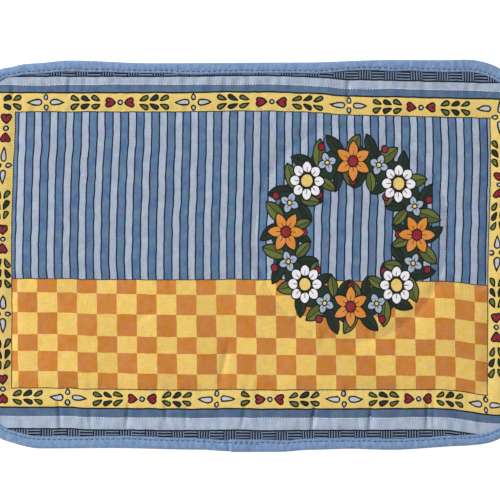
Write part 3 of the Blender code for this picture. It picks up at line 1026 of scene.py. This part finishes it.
def printed_cotton(dyes, sewing):
    """Quilting cotton, printed: flat dyes with pen outlines, a little uneven as hand drawing is."""
    material, node = new_material("printed cotton")
    drawing = node("UVMap", uv_map="print")
    shake = node("TexNoise", drawing, 1 / STRAY_CELL, 2.0, 0.5, noise_dimensions="2D")
    centred = node("VectorMath", shake.outputs["Color"], (0.5, 0.5, 0.5), operation="SUBTRACT")
    shaken = node("VectorMath", centred, FIELD_STRAY, drawing, operation="MULTIPLY_ADD")
    place = node("SeparateXYZ", shaken)

    swaying = node("Mapping", drawing, None, None, SWAY_CELL, vector_type="TEXTURE")
    sway_noise = node("TexNoise", swaying, 1.0, 1.0, 0.5, noise_dimensions="2D")
    sway = node("MapRange", sway_noise, 0.0, 1.0, -STRIPE_SWAY, STRIPE_SWAY)
    edging = node("UVMap", uv_map="edging")
    jitter = node("VectorMath", centred, MOTIF_STRAY, edging, operation="MULTIPLY_ADD")
    mottle = node("TexNoise", drawing, 1 / MOTTLE_CELL, 3.0, 0.6, noise_dimensions="2D")
    mottle = mottle.outputs["Color"]
    striped = mottled(node, stripes(node, place, sway, dyes), mottle, BLUE_MOTTLE)
    checked = checks(node, place, dyes)
    off_split = node("Math", place.outputs["Y"], FIELD_SPLIT, operation="SUBTRACT")
    above = node("Math", off_split, 0.0, operation="GREATER_THAN")
    field = node("Mix", above, checked, striped, data_type="RGBA")
    on_split = node("Math", off_split, 0.0, SPLIT_HALF, operation="COMPARE")
    field = node("Mix", on_split, field, dyes.ink, data_type="RGBA")
    field = garland(node, shaken, field, dyes)

    past = []
    for axis, reach in (("X", FIELD_X), ("Y", FIELD_Y)):
        side = node("Math", place.outputs[axis], operation="ABSOLUTE")
        past.append(node("Math", side, reach, operation="SUBTRACT"))
    rim = node("Math", *past, operation="MAXIMUM")
    in_border = node("Math", rim, 0.0, operation="GREATER_THAN")
    motifs = border_motifs(node, node("SeparateXYZ", jitter), dyes)
    inner = node("Mix", in_border, field, motifs, data_type="RGBA")
    clear = (*dyes.ink[:3], 0.0)
    bands = [(start, getattr(dyes, dye_name) if dye_name else clear) for start, dye_name in BANDS]
    # Along the bottom the dark band is a little wider, so what is past its start counts as less.
    low = -FIELD_Y - LOW_BAND_FROM
    extra = node("MapRange", place.outputs["Y"], low, low - LOW_BAND_EASE, 0.0, LOW_BAND_EXTRA)
    in_bands = node("Math", rim, extra, operation="SUBTRACT")
    ramp = node("ValToRGB", node("MapRange", in_bands, BANDS_START, BANDS_END, 0.0, 1.0))
    fill_ramp(ramp.color_ramp, bands, BANDS_START, BANDS_END)
    blues = mottled(node, ramp.outputs["Color"], mottle, BLUE_MOTTLE)
    banded = node("Mix", ramp.outputs["Alpha"], inner, blues, data_type="RGBA")

    rough = node("VectorMath", centred, STRIP_STRAY, edging, operation="MULTIPLY_ADD")
    in_edging = node("SeparateXYZ", rough)
    past_bands = node("Math", rim, STRIP_FROM, operation="GREATER_THAN")
    past_edge = node("Math", in_edging.outputs["Y"], 0.0, operation="GREATER_THAN")
    in_strip = node("Math", past_bands, past_edge, operation="MULTIPLY")
    strip = basket_strip(node, in_edging, dyes)
    whole = node("Mix", in_strip, banded, strip, data_type="RGBA")

    printed = mottled(node, whole, mottle, FAINT_MOTTLE)
    cloth_finish(node, printed, drawing, sewing)
    return material


def in_millimetres(node):
    """The place on the object, in millimetres."""
    metres = node("TexCoord").outputs["Object"]
    return node("VectorMath", metres, (1 / MM,) * 3, operation="MULTIPLY")


def natural_cotton(sewing):
    """Unbleached backing cotton: cream, with the specks that are left in the raw fibre."""
    material, node = new_material("natural cotton")
    place = in_millimetres(node)
    flecks = node("TexNoise", place, FLECK_SCALE, 2.0, 0.5, noise_dimensions="2D")
    fleck = node("MapRange", flecks, *FLECK_RANGE, 0.0, FLECK_STRENGTH)
    speckled = node("Mix", fleck, sewing.backing, linear("#A8926C"), data_type="RGBA")
    cloth_finish(node, speckled, place, sewing)
    return material


def binding_cotton(sewing):
    """Blue bias strip: the same plain weave, cut across its threads, its dye a little uneven."""
    material, node = new_material("blue binding cotton")
    strip = node("UVMap", uv_map="strip")
    mottle = node("TexNoise", strip, 1 / BINDING_MOTTLE_CELL, 3.0, 0.65, noise_dimensions="2D")
    dyed = mottled(node, sewing.binding, mottle.outputs["Color"], BINDING_MOTTLE)
    bias = node("Mapping", strip, None, (0.0, 0.0, math.radians(45)))
    cloth_finish(node, dyed, bias, sewing)
    return material


def sewing_thread(name, dye_used):
    """Spun polyester thread: uneven in tone, as its twisted plies are, with a soft shine."""
    material, node = new_material(name)
    place = in_millimetres(node)
    plies = node("TexNoise", place, 2.2, 1.0, 0.5)
    value = node("MapRange", plies, 0.3, 0.7, *PLY_TONES)
    toned = node("HueSaturation", named={"Value": value, "Color": dye_used})
    surface = node(
        "BsdfPrincipled",
        named={"Base Color": toned, "Roughness": 0.6, "Sheen Weight": 0.2},
    )
    node("OutputMaterial", surface)
    return material


def clear_thread():
    """Clear nylon thread, which takes on the colour of the cloth under it."""
    material, node = new_material("clear nylon thread")
    nylon = {"Roughness": 0.3, "IOR": 1.53, "Transmission Weight": 0.9}
    node("OutputMaterial", node("BsdfPrincipled", named=nylon))
    return material


def leg_width(along, upper):
    """Width of the binding's upper leg."""
    return from_table(LEG_TOP if upper > 0 else LEG_BOTTOM, along)


def lap_height(x, upper):
    """How far the strip's folded end lifts it over its start at the lower edge, past a groove."""
    if upper > 0:
        return 0.0
    past = x - LAP_X
    lap = smooth_step(-0.5, 0.5, past) - smooth_step(0.0, LAP_EASE, past - LAP_LENGTH)
    return LAP_RISE * lap - GROOVE_DEPTH * math.exp(-((past + 1.0) ** 2))


def binding_place(along, upper, inset, height, sewing):
    """A point of the binding's skin, for a point of its cross-section."""
    edge, out = edge_at(along, upper)
    if height > SECTION_TOP:
        leg = leg_width(along, upper)
        if inset > SECTION_NOSE:
            widened = (leg - SECTION_NOSE) / (SECTION_WIDTH - SECTION_NOSE)
            inset = SECTION_NOSE + (inset - SECTION_NOSE) * widened
        between = 0.5 - 0.5 * math.cos(math.tau * along / (sewing.edge_pitch / MM))
        row = leg - SECTION_WIDTH + STITCH_ROW
        depth = DENT_DEPTH + NEEDLE_HOLE_DEPTH * between
        dent = math.exp(-(((inset - row) / DENT_WIDTH) ** 2)) * depth
        cell = (*(edge / WRINKLE_CELL), inset / WRINKLE_LENGTH)
        height += lap_height(edge.x, upper) + WRINKLE_RISE * noise.noise(cell) - dent
    return (*(edge - out * inset), height)


class PLACEMAT_OT_quilted_panel(bpy.types.Operator):
    """Make the printed face, wadding and backing, quilted together"""

    bl_idname = "placemat.quilted_panel"
    bl_label = "Quilted Panel"

    def execute(self, context):
        sewing = context.scene.placemat_sewing
        dyes = context.scene.placemat_print
        cell = sewing.cell / MM
        face_edge = ((UNDER_BINDING_TOP, PRESSED_TOP), (PANEL_EDGE, PRESSED_TOP))
        under_edge = ((UNDER_BINDING_BASE, PRESSED_BASE), (PANEL_EDGE, PRESSED_BASE))
        bm = panel_side(partial(face_height, sewing=sewing), face_edge, cell)
        under = panel_side(backing_height, under_edge, sewing.backing_cell / MM)
        for face in under.faces:
            face.material_index = 1
        backing = mesh_of("backing", under)
        bm.from_mesh(backing)
        bpy.data.meshes.remove(backing)
        open_rims = [edge for edge in bm.edges if edge.is_boundary]
        bmesh.ops.bridge_loops(bm, edges=open_rims)
        drawing = bm.loops.layers.uv.new("print")
        edging = bm.loops.layers.uv.new("edging")
        for face in bm.faces:
            middle = from_scene(face.calc_center_median())
            for loop in face.loops:
                place = from_scene(loop.vert.co)
                loop[drawing].uv = on_print(*place)
                loop[edging].uv = on_edging(middle, *place)
        materials = (printed_cotton(dyes, sewing), natural_cotton(sewing))
        finished_piece("quilted_cloth", bm, materials, "quilted_panel")
        return {"FINISHED"}


class PLACEMAT_OT_edge_binding(bpy.types.Operator):
    """Make the folded strip round the edge, with its lapped end and its stitched dents"""

    bl_idname = "placemat.edge_binding"
    bl_label = "Edge Binding"

    def execute(self, context):
        sewing = context.scene.placemat_sewing
        columns = round(4 * QUARTER_LENGTH / (sewing.binding_cell / MM))
        rows = len(BINDING_SECTION)
        bm = bmesh.new()
        strip = bm.loops.layers.uv.new("strip")
        bmesh.ops.create_grid(bm, x_segments=columns, y_segments=rows, size=1.0)
        for face in bm.faces:
            for loop in face.loops:
                column = grid_index(loop.vert.co.x, columns)
                row = grid_index(loop.vert.co.y, rows)
                loop[strip].uv = (4 * QUARTER_LENGTH * column / columns, SECTION_STEP * row)
        for vert in bm.verts:
            around = 4 * QUARTER_LENGTH * (grid_index(vert.co.x, columns) % columns) / columns
            upper = 1.0 if around < 2 * QUARTER_LENGTH else -1.0
            along = around - QUARTER_LENGTH if upper > 0 else 3 * QUARTER_LENGTH - around
            inset, height = BINDING_SECTION[grid_index(vert.co.y, rows) % rows]
            vert.co = to_scene(*binding_place(along, upper, inset, height, sewing))
        bmesh.ops.remove_doubles(bm, verts=bm.verts, dist=1e-6)
        materials = (binding_cotton(sewing),)
        finished_piece("bound_edge", bm, materials, "edge_binding")
        return {"FINISHED"}


def top_of(piece):
    """A call that gives the height in millimetres of a piece's top over a place."""
    tree = BVHTree.FromPolygons(
        [vert.co for vert in piece.data.vertices],
        [polygon.vertices for polygon in piece.data.polygons],
    )

    def height(x, y):
        start = Vector(to_scene(x, y, OVER_CLOTH))
        hit = tree.ray_cast(start, Vector((0.0, 0.0, -1.0)))[0]
        if hit is None:
            raise RuntimeError(f"nothing lies under the stitch at {x:.1f}, {y:.1f}")
        return hit.z / MM

    return height


def stitch_shape():
    """A rounded bead of thread, to be stretched into each stitch."""
    bm = bmesh.new()
    bmesh.ops.create_uvsphere(bm, u_segments=6, v_segments=5, radius=1.0)
    return mesh_of("stitch", bm)


def add_stitch(bm, shape, start, end, height, width):
    """One stitch of thread that lies on the cloth from start to end, on the plan."""
    ends = [Vector(to_scene(*spot, height(*spot) + THREAD_LIFT)) for spot in (start, end)]
    run = ends[1] - ends[0]
    turn = run.to_track_quat("Z", "Y").to_matrix().to_4x4()
    stretch = Matrix.Diagonal((width / 2, width / 2, run.length / 2 + width / 3, 1.0))
    stitch = shape.copy()
    stitch.transform(Matrix.Translation((ends[0] + ends[1]) / 2) @ turn @ stretch)
    bm.from_mesh(stitch)
    bpy.data.meshes.remove(stitch)


def spaced(points, pitch):
    """Places evenly spaced on a line through the points, each with the line's direction."""
    left = pitch / 2
    for start, end in zip(points, points[1:]):
        step = Vector(end) - Vector(start)
        size = step.length
        while left <= size:
            yield Vector(start) + step * (left / size), step.normalized()
            left += pitch
        left -= size


def rectangle_points(out, low_extra=0.0):
    """Corners of a quilted rectangle round the field, closed."""
    x = FIELD_X + out
    top = FIELD_Y + out
    low = -top - low_extra
    return ((-x, low), (x, low), (x, top), (-x, top), (-x, low))


def quilting_paths():
    """Every quilting line as points of the drawing, and whether its thread is white."""
    ring = [
        (
            GARLAND_X + RING_HALF_LENGTH * math.cos(math.tau * step / RING_POINTS),
            GARLAND_Y + RING_HALF_WIDTH * math.sin(math.tau * step / RING_POINTS),
        )
        for step in range(RING_POINTS + 1)
    ]
    rise = (FIELD_SPLIT - GARLAND_Y) / RING_HALF_WIDTH
    half_gap = RING_HALF_LENGTH * math.sqrt(1 - rise * rise)
    left = ((-FIELD_X, FIELD_SPLIT), (GARLAND_X - half_gap, FIELD_SPLIT))
    right = ((GARLAND_X + half_gap, FIELD_SPLIT), (FIELD_X, FIELD_SPLIT))
    return (
        (rectangle_points(BAND_LINE, LOW_BAND_EXTRA), True),
        (rectangle_points(FRAME_LINE), False),
        (ring, False),
        (left, False),
        (right, False),
    )


def bobbin_height(x, y):
    """Height of the thread that lies in the tucks of the underside."""
    return backing_height(x, y) - BOBBIN_SINK


class PLACEMAT_OT_quilting_stitches(bpy.types.Operator):
    """Make the white and clear stitches that quilt the panel, and the bobbin's thread under it"""

    bl_idname = "placemat.quilting_stitches"
    bl_label = "Quilting Stitches"

    def execute(self, context):
        sewing = context.scene.placemat_sewing
        height = top_of(bpy.data.objects["quilted_cloth"])
        pitch = sewing.quilt_pitch / MM
        reach = sewing.quilt_stitch / MM / 2
        bm = bmesh.new()
        white_shape = stitch_shape()
        clear_shape = stitch_shape()
        for polygon in clear_shape.polygons:
            polygon.material_index = 1
        below = (white_shape, bobbin_height, sewing.bobbin_thread)
        for path, is_white in quilting_paths():
            above = (clear_shape, height, sewing.clear_thread)
            if is_white:
                above = (white_shape, height, sewing.thread)
            for middle, direction in spaced(path, pitch):
                if is_white:
                    side = Vector((-direction.y, direction.x))
                    cell = (*(middle / WHITE_WANDER_CELL), WHITE_LAYER)
                    middle += WHITE_WANDER * noise.noise(cell) * side
                # The bobbin's thread lies on the underside, between the stitches of the face.
                for forward, (shape, surface, width) in ((0.0, above), (pitch / 2, below)):
                    spot = middle + direction * forward
                    start = off_print(*(spot - direction * reach))
                    end = off_print(*(spot + direction * reach))
                    add_stitch(bm, shape, start, end, surface, width)
        white = sewing_thread("white quilting thread", sewing.quilting_thread)
        finished_piece("quilting_stitches", bm, (white, clear_thread()), None)
        return {"FINISHED"}


class PLACEMAT_OT_binding_stitches(bpy.types.Operator):
    """Make the row of blue stitches that holds the binding"""

    bl_idname = "placemat.binding_stitches"
    bl_label = "Binding Stitches"

    def execute(self, context):
        sewing = context.scene.placemat_sewing
        height = top_of(bpy.data.objects["bound_edge"])
        pitch = sewing.edge_pitch / MM
        reach = sewing.edge_stitch / MM / 2
        last = math.floor(QUARTER_LENGTH / pitch)
        shape = stitch_shape()
        bm = bmesh.new()
        steps = range(-last, last + 1)
        places = [(step * pitch, upper, 0.0) for step in steps for upper in (1.0, -1.0)]
        # The row's start and end overlap on the lap, a little apart.
        steps = range(1, BACKSTITCHES + 1)
        places += [(LAP_X + step * pitch, -1.0, BACKSTITCH_APART) for step in steps]
        for middle, upper, aside in places:
            ends = []
            for along in (middle - reach, middle + reach):
                edge, out = edge_at(along, upper)
                cell = (*(edge / BLUE_WANDER_CELL), BLUE_LAYER)
                wander = BLUE_WANDER * noise.noise(cell)
                row = leg_width(along, upper) - SECTION_WIDTH + STITCH_ROW + wander - aside
                ends.append(edge - out * row)
            add_stitch(bm, shape, *ends, height, sewing.edge_thread)
        # The thread's darker blue is partly its own colour and partly painted shade of its needle
        # holes.
        thread = sewing_thread("blue binding thread", sewing.binding_thread_and_hole_shade)
        finished_piece("binding_stitches", bm, (thread,), None)
        return {"FINISHED"}


class PLACEMAT_OT_stage(bpy.types.Operator):
    """Set up the pale floor, the soft studio light and the camera"""

    bl_idname = "placemat.stage"
    bl_label = "Stage"

    def execute(self, context):
        scene = context.scene
        bm = bmesh.new()
        bmesh.ops.create_grid(bm, x_segments=1, y_segments=1, size=FLOOR_HALF)
        bmesh.ops.translate(bm, verts=bm.verts, vec=(0.0, 0.0, -FLOOR_DROP))
        floor = add_object("floor", mesh_of("floor", bm))
        material, node = new_material("white paper")
        # Lit from behind a little, as a white sweep is, so the mat's shadow stays faint.
        paper = {
            "Base Color": linear("#BCBCBC"),
            "Roughness": 0.9,
            "Emission Color": (1.0, 1.0, 1.0, 1.0),
            "Emission Strength": 0.85,
        }
        node("OutputMaterial", node("BsdfPrincipled", named=paper))
        floor.data.materials.append(material)
        floor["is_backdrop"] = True

        world = bpy.data.worlds.new("soft studio")
        world.use_nodes = True
        background = world.node_tree.nodes["Background"]
        background.inputs["Color"].default_value = (1.0, 1.0, 1.0, 1.0)
        background.inputs["Strength"].default_value = 0.34
        scene.world = world

        lamp = bpy.data.lights.new("soft box", "AREA")
        lamp.shape = "RECTANGLE"
        lamp.size = 1.5
        lamp.size_y = 1.05
        lamp.energy = 262.0
        soft_box = add_object("soft box", lamp)
        soft_box.location = LAMP_PLACE
        soft_box.rotation_euler = (-soft_box.location).to_track_quat("-Z", "Y").to_euler()

        camera_data = bpy.data.cameras.new("camera")
        camera_data.lens = 85.0
        camera_data.sensor_width = 36.0
        scene.camera = add_object("camera", camera_data)
        scene.camera.location = to_scene(*CAMERA_PLACE)
        scene.view_settings.view_transform = "Standard"
        return {"FINISHED"}


class PLACEMAT_PT_sidebar(bpy.types.Panel):
    """The placemat's pieces, in the order they are made"""

    bl_idname = "PLACEMAT_PT_sidebar"
    bl_label = "Placemat"
    bl_space_type = "VIEW_3D"
    bl_region_type = "UI"
    bl_category = "Placemat"

    def draw(self, context):
        for operator in OPERATORS:
            self.layout.operator(operator.bl_idname)
        for settings in (context.scene.placemat_print, context.scene.placemat_sewing):
            for name in settings.__annotations__:
                self.layout.prop(settings, name)


OPERATORS = (
    PLACEMAT_OT_quilted_panel,
    PLACEMAT_OT_edge_binding,
    PLACEMAT_OT_quilting_stitches,
    PLACEMAT_OT_binding_stitches,
    PLACEMAT_OT_stage,
)
CLASSES = (PlacematPrint, PlacematSewing, *OPERATORS, PLACEMAT_PT_sidebar)


def register():
    for one in CLASSES:
        bpy.utils.register_class(one)
    bpy.types.Scene.placemat_print = PointerProperty(type=PlacematPrint)
    bpy.types.Scene.placemat_sewing = PointerProperty(type=PlacematSewing)


def unregister():
    del bpy.types.Scene.placemat_sewing
    del bpy.types.Scene.placemat_print
    for one in reversed(CLASSES):
        bpy.utils.unregister_class(one)


def main():
    """Makes every piece."""
    register()
    bpy.ops.placemat.quilted_panel()
    bpy.ops.placemat.edge_binding()
    bpy.ops.placemat.quilting_stitches()
    bpy.ops.placemat.binding_stitches()
    bpy.ops.placemat.stage()
    boxes = {"cad": CAD_BOX, "visual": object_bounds()}
    plain = {name: [list(corner) for corner in box] for name, box in boxes.items()}


if __name__ == "__main__":
    main()
